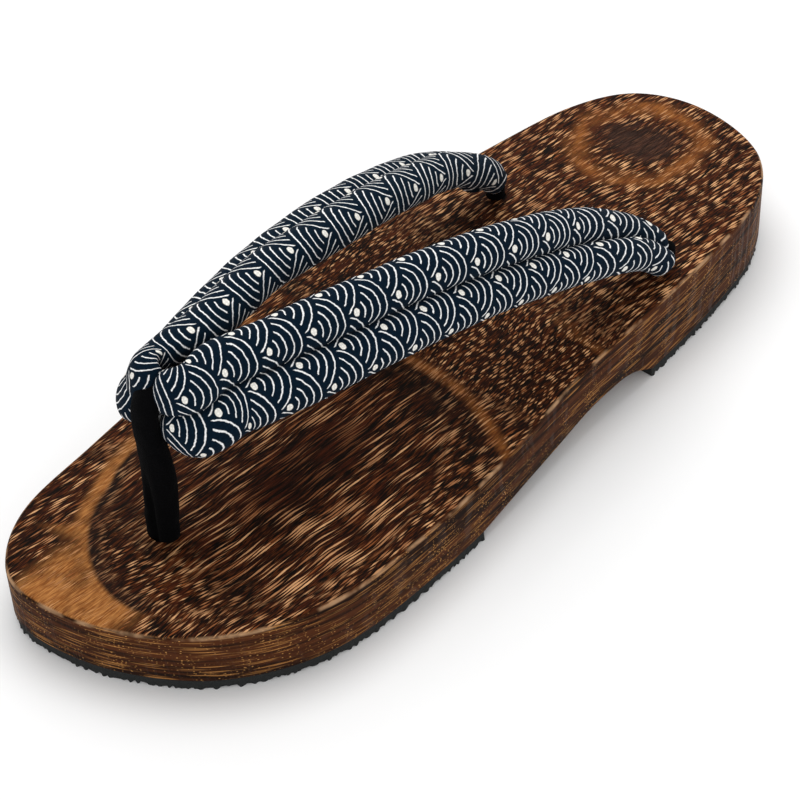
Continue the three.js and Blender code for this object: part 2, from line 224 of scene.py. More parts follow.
def makeWood():
    look = woodLook
    tint = {name: linearColour(value) for name, value in look.items() if isinstance(value, str)}
    material = newMaterial("scorched_brushed_paulownia")
    add = partial(addNode, material.node_tree)
    chain = partial(chainValues, material.node_tree)
    place = add("VectorMath", {0: add("TexCoord", out=3), 3: 1000.0}, operation="SCALE")  # millimetres
    y = add("SeparateXYZ", {0: place}, out=1)
    normalZ = add("SeparateXYZ", {0: add("NewGeometry", out=1)}, out=2)
    topShare = add("MapRange", {0: normalZ, 1: 0.55, 2: 0.9}, **smoothly)

    def shaken(start, cloudPlace, scale, detail, reach):
        # the start place, moved by up to half of the reach each way
        cloud = add("TexNoise", {0: cloudPlace, "Scale": scale, "Detail": detail}, out=1)
        off = add("VectorMath", {0: cloud, 1: (0.5, 0.5, 0.5)}, operation="SUBTRACT")
        return add("VectorMath", {0: off, 1: reach, 2: start}, operation="MULTIPLY_ADD")

    # the grain wanders over 40 mm, its fibres waver over 5 mm, and the ovals' edges are ragged over 12 mm
    bent = shaken(place, place, 0.024, 2.0, (7.0, 4.0, 0.0))
    slow = add("VectorMath", {0: bent, 1: (1.0, 0.3, 1.0)}, operation="MULTIPLY")
    fibre = shaken(bent, slow, 0.55, 2.0, (0.6, 0.4, 0.0))
    ragged = shaken(bent, place, 0.085, 4.0, (11.0, 13.0, 0.0))
    bentX, bentY = (add("SeparateXYZ", {0: bent}, out=axis) for axis in (0, 1))

    def needles(name):
        # one tapered needle to a cell: its shape and its tone
        wide, long, most, slant, seed = look[name]
        turned = add("VectorRotate", {0: fibre, 3: math.radians(slant)}, rotation_type="Z_AXIS")
        size = (1 / wide, 1 / long, 0.0)
        cells = add("VectorMath", {0: turned, 1: size, 2: (seed, seed, 0.0)}, operation="MULTIPLY_ADD")
        cell = add(
            "TexVoronoi", {0: cells, "Scale": 1.0, "Randomness": 0.85},
            voronoi_dimensions="2D", distance="MANHATTAN",
        ).node
        chance, tone = (add("SeparateXYZ", {0: cell.outputs[1]}, out=axis) for axis in (0, 1))
        reach = add("MapRange", {0: chance, 1: 0.0, 2: 0.8, 3: 0.12, 4: most}, **smoothly)
        edge = add("Math", {0: cell.outputs[0], 1: reach}, operation="SUBTRACT")
        shape = add("MapRange", {0: edge, 1: -0.14, 2: 0.02, 3: 1.0, 4: 0.0}, **smoothly)
        return add("CombineXYZ", {0: shape, 1: tone})

    def ovalReach(name, wavering=bent):
        # 1 on the oval's edge, less inside it
        middleX, middleY, halfWide, halfLong = look[name]
        off = add("VectorMath", {0: wavering, 1: (middleX, middleY, 0)}, operation="SUBTRACT")
        unit = add("VectorMath", {0: off, 1: (1 / halfWide, 1 / halfLong, 0)}, operation="MULTIPLY")
        return add("VectorMath", {0: unit}, out=1, operation="LENGTH")

    def band(reach, low, high, soft):
        rise = add("MapRange", {0: reach, 1: low - soft, 2: low + soft}, **smoothly)
        fall = add("MapRange", {0: reach, 1: high - soft, 2: high + soft, 3: 1.0, 4: 0.0}, **smoothly)
        return chain("MULTIPLY", rise, fall)

    def alongShoe(none, full):
        # how far a place is on the way from one y to another
        return add("MapRange", {0: y, 1: none, 2: full}, **smoothly)

    heel, fore = ovalReach("heelOval", ragged), ovalReach("foreOval")
    outer = ovalReach("outerOval", ragged)
    heelHeart = ovalReach("heelHeart", ragged)
    heelHeart = add("MapRange", {0: heelHeart, 1: 0.35, 2: 1.15, 3: 1.0, 4: 0.0}, **smoothly)
    foreHeart = add("MapRange", {0: ovalReach("foreHeart"), 1: 0.6, 2: 1.1, 3: 1.0, 4: 0.0}, **smoothly)

    # long needles in the forefoot oval, slanted ones at the toe, dashes at the waist, plain ones elsewhere
    waist = chain("MULTIPLY", alongShoe(-12.0, -4.0), alongShoe(44.0, 24.0))
    grain = add("Mix", {0: waist, 6: needles("plain"), 7: needles("dashes")}, **colourMix)
    inside = add("Mix", {0: alongShoe(-112.0, -98.0), 6: needles("ahead"), 7: needles("long")}, **colourMix)
    inFore = add("MapRange", {0: fore, 1: 0.9, 2: 0.98, 3: 1.0, 4: 0.0}, **smoothly)
    grain = add("Mix", {0: inFore, 6: grain, 7: inside}, **colourMix)
    pastFore = add("MapRange", {0: fore, 1: 0.98, 2: 1.03}, **smoothly)
    toeShare = chain("MULTIPLY", alongShoe(-82.0, -96.0), pastFore)
    grain = add("Mix", {0: toeShare, 6: grain, 7: needles("toe")}, **colourMix)
    shape, tone = (add("SeparateXYZ", {0: grain}, out=axis) for axis in (0, 1))
    hair = add("SeparateXYZ", {0: needles("hairs")})

    # the brush went less deep in patches of 15 to 30 mm, and hardly at all at the charred hearts
    patchPlace = add("VectorMath", {0: place, 1: (1.0, 0.5, 1.0)}, operation="MULTIPLY")
    patch = add("TexNoise", {0: patchPlace, "Scale": 0.06, "Detail": 3.0, "Roughness": 0.55})
    brushed = add("MapRange", {0: patch, 1: 0.28, 2: 0.52, 3: 0.55}, **smoothly)
    nearOuter = add("MapRange", {0: outer, 1: 1.0, 2: 1.4, 3: 1.0, 4: 0.0}, **smoothly)
    behindWaist = chain("MULTIPLY", alongShoe(8.0, 26.0), alongShoe(80.0, 60.0))
    unburnt = add("MapRange", {0: chain("MAXIMUM", heelHeart, foreHeart), 3: 1.0, 4: 0.22}, **smoothly)
    bright = chain("MULTIPLY", chain("MAXIMUM", brushed, nearOuter, behindWaist), unburnt)
    streakPlace = add("VectorMath", {0: fibre, 1: (1.5, 0.09, 1.0)}, operation="MULTIPLY")
    streak = add("TexNoise", {0: streakPlace, "Scale": 1.0, "Detail": 3.0})
    streak = add("MapRange", {0: streak, 1: 0.4, 2: 0.7}, **smoothly)
    paler = add("MapRange", {0: patch, 1: 0.3, 2: 0.6, 3: 0.4}, **smoothly)
    paler = chain("MAXIMUM", paler, alongShoe(30.0, 60.0))
    brownShare = chain("MULTIPLY", streak, paler)
    colour = add("Mix", {0: brownShare, 6: tint["dark"], 7: tint["brown"]}, **colourMix)
    hairShare = chain("MULTIPLY", hair, bright, 0.4)
    colour = add("Mix", {0: hairShare, 6: colour, 7: tint["needleLow"]}, **colourMix)
    toneShare = chain("MULTIPLY", tone, bright)
    needle = add("Mix", {0: toneShare, 6: tint["needleLow"], 7: tint["needleHigh"]}, **colourMix)
    shown = add("MapRange", {0: bright, 1: 0.0, 2: 0.6, 3: 0.3}, **smoothly)
    shown = chain("MULTIPLY", shape, shown)
    colour = add("Mix", {0: shown, 6: colour, 7: needle}, **colourMix)

    # smooth late wood: round the heel oval, at the waist end of the forefoot oval and on the outer oval
    finePlace = add("VectorMath", {0: fibre, 1: (2.4, 0.22, 1.0)}, operation="MULTIPLY")
    fine = add("TexNoise", {0: finePlace, "Scale": 1.0, "Detail": 3.0})
    fine = add("MapRange", {0: fine, 1: 0.3, 2: 0.7}, **smoothly)
    sag = add("Math", {0: bentX, 1: 5.0}, operation="SUBTRACT")
    sag = add("Math", {0: sag, 1: 2.0}, operation="POWER")
    waistWay = add("Math", {0: sag, 1: 0.0062, 2: bentY}, operation="MULTIPLY_ADD")
    waistShade = chain("MULTIPLY", band(waistWay, -19.0, -10.5, 3.0), 0.45)
    heelRing = chain("MULTIPLY", band(heel, 0.8, 1.02, 0.17), look["heelRing"])
    waistRing = chain("MULTIPLY", band(waistWay, -10.4, -7.6, 1.7), look["waistRing"])
    outerRing = chain("MULTIPLY", band(outer, 0.95, 1.0, 0.05), alongShoe(56.0, 42.0), look["outerRing"])
    uneven = add("TexNoise", {0: place, "Scale": 0.09, "Detail": 4.0, "Roughness": 0.6})
    uneven = add("MapRange", {0: uneven, 1: 0.3, 2: 0.6, 3: 0.35}, **smoothly)
    rings = chain("MULTIPLY", chain("MAXIMUM", heelRing, waistRing, outerRing), uneven)
    lateWood = add("Mix", {0: fine, 6: tint["ring"], 7: tint["ringPale"]}, **colourMix)
    burnt = add("Mix", {0: fine, 6: tint["char"], 7: tint["smoky"]}, **colourMix)

    # the tan crescent outside the forefoot oval at the toe, with the char that borders it
    crescent = add("Math", {0: fore, 1: 1.0}, operation="SUBTRACT")
    neck = add("MapRange", {0: y, 1: -113.0, 2: -125.0, 3: 0.085, 4: 0.4}, **smoothly)
    past = add("Math", {0: crescent, 1: neck}, operation="SUBTRACT")
    innerSide = add("MapRange", {0: bentX, 1: 18.0, 2: 9.0}, **smoothly)
    notEdge = add("MapRange", {0: bentX, 1: -25.0, 2: -16.0}, **smoothly)
    notEdge = chain("MAXIMUM", notEdge, alongShoe(-122.0, -115.0))
    atToe = chain("MULTIPLY", alongShoe(-72.0, -92.0), innerSide, notEdge)
    begins = add("MapRange", {0: crescent, 1: -0.01, 2: 0.025}, **smoothly)
    ends = add("MapRange", {0: past, 1: -0.03, 2: 0.04, 3: 1.0, 4: 0.0}, **smoothly)
    tan = chain("MULTIPLY", begins, ends, atToe, uneven)
    charBegins = add("MapRange", {0: crescent, 1: -0.1, 2: -0.02}, **smoothly)
    charEnds = add("MapRange", {0: crescent, 1: -0.005, 2: 0.02, 3: 1.0, 4: 0.0}, **smoothly)
    charBand = chain("MULTIPLY", charBegins, charEnds, atToe)
    between = add("Math", {0: hair, 1: -0.35, 2: 0.97}, operation="MULTIPLY_ADD")
    tanWood = add("Mix", {0: fine, 6: tint["tan"], 7: tint["tanPale"]}, **colourMix)
    coats = [
        (waistShade, tint["dark"]), (rings, lateWood), (chain("MULTIPLY", heelHeart, 0.75), burnt),
        (chain("MULTIPLY", charBand, 0.6), tint["char"]), (chain("MULTIPLY", tan, between), tanWood),
    ]
    for share, coat in coats:
        colour = add("Mix", {0: share, 6: colour, 7: coat}, **colourMix)

    # wall: layers along the length 2 to 3 mm apart, fine dashes in them and golden specks
    layerPlace = add("VectorMath", {0: place, 1: (0.012, 0.012, 0.45)}, operation="MULTIPLY")
    layers = add("TexNoise", {0: layerPlace, "Scale": 1.2, "Detail": 4.0, "Roughness": 0.6})
    layers = add("MapRange", {0: layers, 1: 0.38, 2: 0.62}, **smoothly)
    wallColour = add("Mix", {0: layers, 6: tint["wallDark"], 7: tint["wall"]}, **colourMix)

    def wallCells(long, high, full, none):
        # lit grains of long by high millimetres, full inside one reach and gone at another
        cells = add("VectorMath", {0: place, 1: (1 / long, 1 / long, 1 / high)}, operation="MULTIPLY")
        cell = add("TexVoronoi", {0: cells, "Scale": 1.0}).node
        lit = add("MapRange", {0: cell.outputs[0], 1: full, 2: none, 3: 1.0, 4: 0.0}, **smoothly)
        chance = add("SeparateXYZ", {0: cell.outputs[1]})
        return chain("MULTIPLY", lit, add("MapRange", {0: chance, 1: 0.25, 2: 0.9}, **smoothly))

    dashes = wallCells(11.0, 0.5, 0.28, 0.5)
    speckShare = add("MapRange", {0: patch, 1: 0.35, 2: 0.6}, **smoothly)
    specks = chain("MULTIPLY", wallCells(1.1, 0.5, 0.15, 0.3), speckShare)
    dashShare = chain("MULTIPLY", dashes, 0.9)
    wallColour = add("Mix", {0: dashShare, 6: wallColour, 7: tint["wallPale"]}, **colourMix)
    wallColour = add("Mix", {0: specks, 6: wallColour, 7: tint["speck"]}, **colourMix)
    colour = add("Mix", {0: topShare, 6: wallColour, 7: colour}, **colourMix)

    # painted highlight: a pale line along the rounded top edge, broken up by noise
    rim = add("Attribute", attribute_name="rim", out=2)
    rimHighlight = add("TexNoise", {0: place, "Scale": 0.11, "Detail": 3.0})
    rimHighlight = add("MapRange", {0: rimHighlight, 1: 0.4, 2: 0.62}, **smoothly)
    rimHighlight = chain("MULTIPLY", rim, rimHighlight, 0.75)
    colour = add("Mix", {0: rimHighlight, 6: colour, 7: tint["edge"]}, **colourMix)

    smooth = chain("MAXIMUM", rings, tan, charBand)
    rough = add("MapRange", {0: smooth, 3: 1.0, 4: 0.25}, **smoothly)
    topRelief = add("Math", {0: hair, 1: 0.3, 2: shown}, operation="MULTIPLY_ADD")
    topRelief = chain("MULTIPLY", topRelief, rough)
    wallRelief = chain("MULTIPLY", dashes, 0.6)
    height = add("Mix", {0: topShare, 2: wallRelief, 3: topRelief}, data_type="FLOAT")
    bump = add("Bump", {"Height": height, "Distance": look["relief"], "Strength": 0.9})
    roughness = add("MapRange", {0: shown, 3: look["groundRough"], 4: look["needleRough"]}, **smoothly)
    shader = add("BsdfPrincipled", {
        "Base Color": colour, "Roughness": roughness, "Normal": bump, "Specular IOR Level": 0.06,
    })
    add("OutputMaterial", {0: shader})
    return material


# Sponge rubber sheet, knife cut: dull black with a fine open grain, and ribs moulded across its tread.
rubberLook = {"black": "#0d0e0e", "grey": "#2b2e2e", "relief": 0.0004}


def makeRubber():
    material = newMaterial("cut_black_sponge_rubber")
    add = partial(addNode, material.node_tree)
    place = add("VectorMath", {0: add("TexCoord", out=3), 3: 1000.0}, operation="SCALE")
    grain = add("TexNoise", {0: place, "Scale": 1.4, "Detail": 4.0, "Roughness": 0.7})
    black, grey = linearColour(rubberLook["black"]), linearColour(rubberLook["grey"])
    colour = add("Mix", {0: grain, 6: black, 7: grey}, **colourMix)
    downward = add("SeparateXYZ", {0: add("NewGeometry", out=1)}, out=2)
    downward = add("MapRange", {0: downward, 1: -0.5, 2: -0.9})
    ribs = add("TexWave", {0: place, "Scale": 0.08, "Distortion": 0.4}, bands_direction="Y")  # 4 mm ribs
    ribs = add("Math", {0: ribs, 1: downward}, operation="MULTIPLY")
    height = add("Math", {0: ribs, 1: 2.0, 2: grain}, operation="MULTIPLY_ADD")
    bump = add("Bump", {"Height": height, "Distance": rubberLook["relief"], "Strength": 0.7})
    shader = add("BsdfPrincipled", {
        "Base Color": colour, "Roughness": 0.82, "Normal": bump, "Specular IOR Level": 0.3,
    })
    add("OutputMaterial", {0: shader})
    return material


# Plain woven indigo cotton with a printed wave pattern: a matt cloth whose threads just show, with the
# overlapping rings left pale in the dye, slightly ragged at their edges.
printLook = {
    "navyDark": "#020c16", "navy": "#0b2234", "line": "#ffffff", "dot": "#fdfaf2",
    # the fans in millimetres of cloth: rows along it, pitch across it, and how far a fan covers the next row
    "rowStep": 6.7, "halfPitch": 9.6, "firstRow": 71.1, "firstSide": 6.5, "cover": 12.5,
    "innerRing": 4.1, "ringStep": 2.25, "rings": 4, "lineHalf": 0.19, "lineSoft": 0.06, "sideGap": 0.6,
    "dotAhead": 1.5, "dotLong": 0.85, "dotWide": 1.12, "wobble": 0.75,
    "threadRelief": 0.00012,
}


def makePrint():
    look = printLook
    material = newMaterial("indigo_printed_cotton")
    add = partial(addNode, material.node_tree)
    chain = partial(chainValues, material.node_tree)
    step, half = look["rowStep"], look["halfPitch"]
    flat = add("UVMap", uv_map="cloth")  # millimetres along and across the cloth
    shake = add("TexNoise", {0: flat, "Scale": 0.55, "Detail": 2.0, "Roughness": 0.6}, out=1)
    shake = add("VectorMath", {0: shake, 1: (0.5, 0.5, 0.5)}, operation="SUBTRACT")
    wobble = (look["wobble"], look["wobble"], 0.0)
    drawn = add("VectorMath", {0: shake, 1: wobble, 2: flat}, operation="MULTIPLY_ADD")
    along = chain("SUBTRACT", add("SeparateXYZ", {0: drawn}), look["firstRow"])
    across = chain("SUBTRACT", add("SeparateXYZ", {0: drawn}, out=1), look["firstSide"])
    rowPlace = chain("DIVIDE", along, step)
    row = add("Math", {0: rowPlace}, operation="FLOOR")
    ahead = chain("MULTIPLY", chain("SUBTRACT", rowPlace, row), step)
    odd = chain("FLOORED_MODULO", row, 2.0)

    def sideOf(shift):
        # way across from the nearest fan of a row, whose fans are shifted by half a pitch in every second row
        moved = add("Math", {0: shift, 1: half, 2: across}, operation="MULTIPLY_ADD")
        return add("Math", {0: moved, 1: half, 2: -half}, operation="WRAP")

    def distance(ahead, side):
        return add("VectorMath", {0: add("CombineXYZ", {0: ahead, 1: side})}, out=1, operation="LENGTH")

    # a fan of the row behind lies over this row's as far as it reaches
    sideHere, sideBehind = sideOf(odd), sideOf(chain("SUBTRACT", 1.0, odd))
    reachHere, reachBehind = distance(ahead, sideHere), distance(chain("ADD", ahead, step), sideBehind)
    covered = chain("LESS_THAN", reachBehind, look["cover"])
    reach = add("Mix", {0: covered, 2: reachHere, 3: reachBehind}, data_type="FLOAT")
    ring = chain("DIVIDE", chain("SUBTRACT", reach, look["innerRing"]), look["ringStep"])
    nearest = add("Math", {0: ring}, operation="ROUND")
    nearest = chain("MINIMUM", chain("MAXIMUM", nearest, 0.0), look["rings"] - 1)
    off = add("Math", {0: chain("SUBTRACT", ring, nearest)}, operation="ABSOLUTE")
    off = chain("MULTIPLY", off, look["ringStep"])
    inner, outer = look["lineHalf"] - look["lineSoft"], look["lineHalf"] + look["lineSoft"]
    line = add("MapRange", {0: off, 1: inner, 2: outer, 3: 1.0, 4: 0.0})

    # the dot at each fan's middle, with clear cloth round it
    dotAhead = chain("DIVIDE", chain("SUBTRACT", ahead, look["dotAhead"]), look["dotLong"])
    dotReach = distance(dotAhead, chain("DIVIDE", sideHere, look["dotWide"]))
    dot = add("MapRange", {0: dotReach, 1: 0.93, 2: 1.07, 3: 1.0, 4: 0.0})
    halo = add("MapRange", {0: dotReach, 1: 1.5, 2: 1.6})
    # the lines stop short of the next fan of their row
    side = add("Mix", {0: covered, 2: sideHere, 3: sideBehind}, data_type="FLOAT")
    side = add("Math", {0: side}, operation="ABSOLUTE")
    edge = half - look["sideGap"]
    clear = add("MapRange", {0: side, 1: edge - 0.1, 2: edge + 0.1, 3: 1.0, 4: 0.0})
    line = chain("MULTIPLY", line, halo, clear)

    # threads, drawn at 0.45 mm so that they show at all
    thread = {0: flat, "Scale": 0.35, "Distortion": 0.6, "Detail": 1.0}
    threads = chain("MULTIPLY", *(add("TexWave", thread, bands_direction=way) for way in ("X", "Y")))
    mottle = add("TexNoise", {0: flat, "Scale": 1.1, "Detail": 3.0, "Roughness": 0.7})
    navyDark, navy = linearColour(look["navyDark"]), linearColour(look["navy"])
    colour = add("Mix", {0: mottle, 6: navyDark, 7: navy}, **colourMix)
    colour = add("Mix", {0: line, 6: colour, 7: linearColour(look["line"])}, **colourMix)
    colour = add("Mix", {0: dot, 6: colour, 7: linearColour(look["dot"])}, **colourMix)
    shade = add("MapRange", {0: threads, 3: 0.84, 4: 1.08})
    shade = add("CombineColor", {0: shade, 1: shade, 2: shade})
    colour = add("Mix", {0: 1.0, 6: colour, 7: shade}, blend_type="MULTIPLY", **colourMix)
    height = chain("ADD", threads, mottle)
    bump = add("Bump", {"Height": height, "Distance": look["threadRelief"], "Strength": 0.6})
    shader = add("BsdfPrincipled", {
        "Base Color": colour, "Roughness": 0.88, "Normal": bump, "Specular IOR Level": 0.04,
        "Sheen Weight": 0.02, "Sheen Roughness": 0.5,
    })
    add("OutputMaterial", {0: shader})
    return material


# Black cotton velvet, folded and pressed: it takes in nearly all light and shows only a dusty nap.
velvetLook = {"black": "#010101", "dusty": "#0e0e10", "relief": 0.0004}


def makeVelvet():
    material = newMaterial("black_cotton_velvet")
    add = partial(addNode, material.node_tree)
    place = add("VectorMath", {0: add("TexCoord", out=3), 3: 1000.0}, operation="SCALE")
    nap = add("TexNoise", {0: place, "Scale": 2.2, "Detail": 4.0, "Roughness": 0.75})
    black, dusty = linearColour(velvetLook["black"]), linearColour(velvetLook["dusty"])
    colour = add("Mix", {0: nap, 6: black, 7: dusty}, **colourMix)
    bump = add("Bump", {"Height": nap, "Distance": velvetLook["relief"], "Strength": 0.8})
    shader = add("BsdfPrincipled", {
        "Base Color": colour, "Roughness": 0.95, "Normal": bump, "Specular IOR Level": 0.02,
        "Sheen Weight": 0.015, "Sheen Roughness": 0.4,
    })
    add("OutputMaterial", {0: shader})
    return material


woodMaterial = makeWood()
rubberMaterial = makeRubber()
printMaterial = makePrint()
velvetMaterial = makeVelvet()
print("materials made")


# Wooden base
base = {
    "length": 280, "blockDepth": 20, "lean": 0.014, "topRound": 1.4, "footChamfer": 0.6, "corners": 416,
    # the last two give the drop below the top face, in millimetres, of the band that carries the painted edge
    # highlight
    "slices": (-134, 136, 4), "highlightFrom": 0.15, "highlightTo": 1.2,
    # along goes from the toe at -1 to the heel at 1, then the left and right edges' x
    "outline": [
        (-1, -16.1, -16.1), (-0.955, -31.5, 11.3), (-0.85, -40.6, 32.8), (-0.65, -44.4, 48.4),
        (-0.4, -48.1, 50.7), (-0.15, -50.6, 48.3), (0.1, -50.3, 44.3), (0.35, -48.1, 42.3),
        (0.6, -44.9, 38.8), (0.8, -41.2, 32.5), (0.94, -31.9, 18.3), (1, -9.5, -9.5),
    ],
    "top": [(-140, 19.3), (-84, 21.7), (-28, 22.8), (28, 26.9), (84, 26.7), (140, 24.1)],
    "arch": [(-31.8, 3.3), (-15.3, 5.6), (5.3, 7.2), (26, 9.6), (40.8, 8.5), (50.7, 3.3)],
}
fullTurn = 2 * math.pi
topHeight = smoothCurve(base["top"])
archHeight = smoothCurve(base["arch"])


def turnAt(y):
    return math.acos(min(1.0, max(-1.0, -2 * y / base["length"])))


def outlineCurve():
    half = base["length"] / 2
    right = [(turnAt(along * half), rightX) for along, leftX, rightX in base["outline"]]
    leftRows = reversed(base["outline"][1:-1])
    left = [(fullTurn - turnAt(along * half), leftX) for along, leftX, rightX in leftRows]
    lap = right + left
    before = [(turn - fullTurn, x) for turn, x in lap[-2:]]
    after = [(turn + fullTurn, x) for turn, x in lap[:2]]
    return smoothCurve(before + lap + after)


edgeX = outlineCurve()


def outlinePoint(turn, inset):
    # a point of the sole's outline, drawn in by inset; turn goes from the toe by +X to the heel and back
    turn %= fullTurn
    half = base["length"] / 2
    ahead, back = (turn + 0.01) % fullTurn, (turn - 0.01) % fullTurn
    wayX = edgeX(ahead) - edgeX(back)
    wayY = -half * (math.cos(ahead) - math.cos(back))
    size = math.hypot(wayX, wayY)
    return edgeX(turn) - inset * wayY / size, -half * math.cos(turn) + inset * wayX / size


def outlineDisc(name, corners, inset, height):
    # a circle whose corners go to their places on the outline
    pickNone()
    bpy.ops.mesh.primitive_circle_add(vertices=corners, radius=0.1, fill_type="NGON", location=(0, 0, 0))
    disc = bpy.context.object
    disc.name = disc.data.name = name
    turns = disc.data.attributes.new("turn", "FLOAT", "POINT")
    for i, corner in enumerate(disc.data.vertices):
        turn = math.atan2(corner.co.x, -corner.co.y) % fullTurn
        turns.data[i].value = turn
        x, y = outlinePoint(turn, inset)
        corner.co = Vector((x, y, height)) * mm
    return disc


def cutAcross(piece, at, axis=(0, 1, 0), **settings):
    editAll(piece)
    bpy.ops.mesh.bisect(plane_co=Vector(axis) * at * mm, plane_no=axis, **settings)
    bpy.ops.object.mode_set(mode="OBJECT")


def makeBase():
    depth = base["blockDepth"]  # a flat block, before the faces get their heights
    block = outlineDisc("wood_base_shaped", base["corners"], 0, depth)
    editAll(block)
    bpy.ops.mesh.extrude_region_move(TRANSFORM_OT_translate={"value": (0, 0, -depth * mm)})
    faceOutward()
    turns = block.data.attributes["turn"]
    for i, corner in enumerate(block.data.vertices):
        if corner.co.z < depth / 2 * mm:
            x, y = outlinePoint(turns.data[i].value, base["lean"] * depth)
            corner.co.x, corner.co.y = x * mm, y * mm
    nearTop = (depth - 1) * mm
    pickEdges(block, lambda a, b: a.z > nearTop and b.z > nearTop)
    bpy.ops.mesh.bevel(offset=base["topRound"] * mm, offset_type="OFFSET", segments=4, profile=0.5)
    pickEdges(block, lambda a, b: a.z < mm and b.z < mm)
    bpy.ops.mesh.bevel(offset=base["footChamfer"] * mm, offset_type="OFFSET", segments=2, profile=0.5)
    bpy.ops.object.mode_set(mode="OBJECT")
    for y in [*range(*base["slices"]), base["arch"][0][0], base["arch"][-1][0]]:
        cutAcross(block, y)
    # rim marks the band just below the top face, where the wood material paints a highlight line
    rim = block.data.attributes.new("rim", "FLOAT", "POINT")
    for i, corner in enumerate(block.data.vertices):
        x, y, z = corner.co / mm
        if z > depth / 2:
            drop = depth - z
            rim.data[i].value = 1.0 if base["highlightFrom"] < drop < base["highlightTo"] else 0.0
            corner.co.z = (topHeight(y) - drop) * mm
        else:
            corner.co.z = (archHeight(y) + z) * mm
    return block


def drillHole(piece, name, x, y, radiusX, radiusY):
    # a boolean cut with an upright oval rod, which is then deleted
    pickNone()
    bpy.ops.mesh.primitive_cylinder_add(vertices=48, radius=mm, depth=0.08, location=(x * mm, y * mm, 0.02))
    rod = bpy.context.object
    rod.scale = (radiusX, radiusY, 1)
    bpy.ops.object.transform_apply(location=True, rotation=True, scale=True)
    cut = piece.modifiers.new(name, "BOOLEAN")
    cut.object = rod
    cut.solver = "EXACT"
    applyAll(piece)
    bpy.data.objects.remove(rod, do_unlink=True)


sandalBase = makeBase()
print("wood shaped", len(sandalBase.data.polygons), "faces")


# Strap: the band's middle line and its lean along each arm, and its two rolls
strap = {
    # path along the arm, y, spread off the middle, z, lean
    "outerArm": [
        (0, -94.9, 0, 60.5, 88), (3.4, -96, 3.2, 62.6, 82), (6.6, -96.2, 6.2, 64.2, 76),
        (9.8, -94.3, 8.9, 64.8, 70), (13.4, -90.8, 9.9, 65, 66), (20.4, -83.9, 9.9, 66, 58),
        (29.6, -75, 12.3, 66.3, 52.5),
        (55.6, -50, 17.5, 66.4, 54.5), (85.6, -20, 21.7, 64.6, 58.5), (116.6, 10, 25.1, 59.3, 57.5),
        (145.6, 38, 26.9, 49.3, 37.5), (164.6, 54, 27.6, 39.8, 21), (183.6, 64, 30.1, 29.3, 13),
    ],
    "innerArm": [
        (0, -94.9, 0, 60.5, 88), (3.4, -96, 3.2, 62.6, 82), (6.6, -96.2, 6.2, 64.2, 74),
        (9.8, -94.3, 8.9, 64.8, 67), (13.4, -90.8, 9.9, 65, 61), (20.4, -83.9, 10.5, 66, 56),
        (29.6, -75, 11.8, 66.4, 48),
        (55.6, -50, 16.1, 67.9, 41), (85.6, -20, 19.7, 66.1, 27), (116.6, 10, 23.5, 61, 22),
        (145.6, 38, 27.7, 51.4, 19), (164.6, 53.5, 29.2, 42, 13), (183.6, 63, 30.9, 32, 9),
    ],
    # path, half width, half thickness, and the share of it left on the inner side
    "band": [
        (0, 6.5, 3.4, 0.6), (3.4, 9.4, 4.2, 0.45), (6.6, 12, 4.9, 0.35), (9.8, 12.9, 5.2, 0.4),
        (13.4, 13.1, 5.3, 0.6), (20.4, 13.1, 5.5, 0.9), (29.6, 13.1, 5.7, 1), (55.6, 13.2, 5.75, 1),
        (85.6, 12.7, 5.75, 1), (116.6, 11.8, 5.7, 1), (145.6, 10.5, 5.3, 1), (164.6, 8.9, 4.8, 1),
        (183.6, 7, 4.2, 1),
    ],
    "postFoot": (-4.5, -100.8), "rearMiddle": (2, 66), "rearSkew": 4, "endRound": 6, "ringEasing": 5,
    # grooves between the rolls, left as shares of their thickness; 1 is the outer arm and -1 the inner one
    "outerGroove": 0.34, "innerGroove": 0.65, "noseGroove": {1: 0.5, -1: 0.92}, "noseReach": {1: 16, -1: 24},
    # the filling's lumps and the stitching's puckers: their depth as a share, and their length in millimetres
    "lumps": 0.045, "lumpLength": 11,
    "pucker": 0.07, "puckerLength": 2.1, "slowPucker": 4.4, "puckerReach": 0.9,
    "fullness": 2.8, "ringsAlong": 420, "pointsRound": 96, "foldCrowding": 1.25,
    # where the print is laid out from, and how much it is drawn out towards the ends
    "printFrom": 72, "pulled": 0.34, "pulledFrom": 138,
}
armLength = strap["band"][-1][0]


def bothArms(inner, outer, column, sign):
    # one column as a curve over both arms, from the inner end through the fold to the outer end
    far = [(-row[0], sign * row[column]) for row in reversed(inner[1:])]
    return smoothCurve(far + [(row[0], row[column]) for row in outer])


armCurve = partial(bothArms, strap["innerArm"], strap["outerArm"])
bandCurve = partial(bothArms, strap["band"], strap["band"])
strapY, strapSpread, strapZ, strapLean = armCurve(1, 1), armCurve(2, -1), armCurve(3, 1), armCurve(4, 1)
strapHalfWidth, strapHalfThick, strapInner = bandCurve(1, 1), bandCurve(2, 1), bandCurve(3, 1)


def strapCentre(path):
    footX, footY = strap["postFoot"]
    rearX, rearY = strap["rearMiddle"]
    y = strapY(path)
    middleX = footX + (rearX - footX) * (y - footY) / (rearY - footY)
    skew = strap["rearSkew"] * math.copysign(1, path) * (path / armLength) ** 2
    return Vector((middleX + strapSpread(path), y + skew, strapZ(path)))


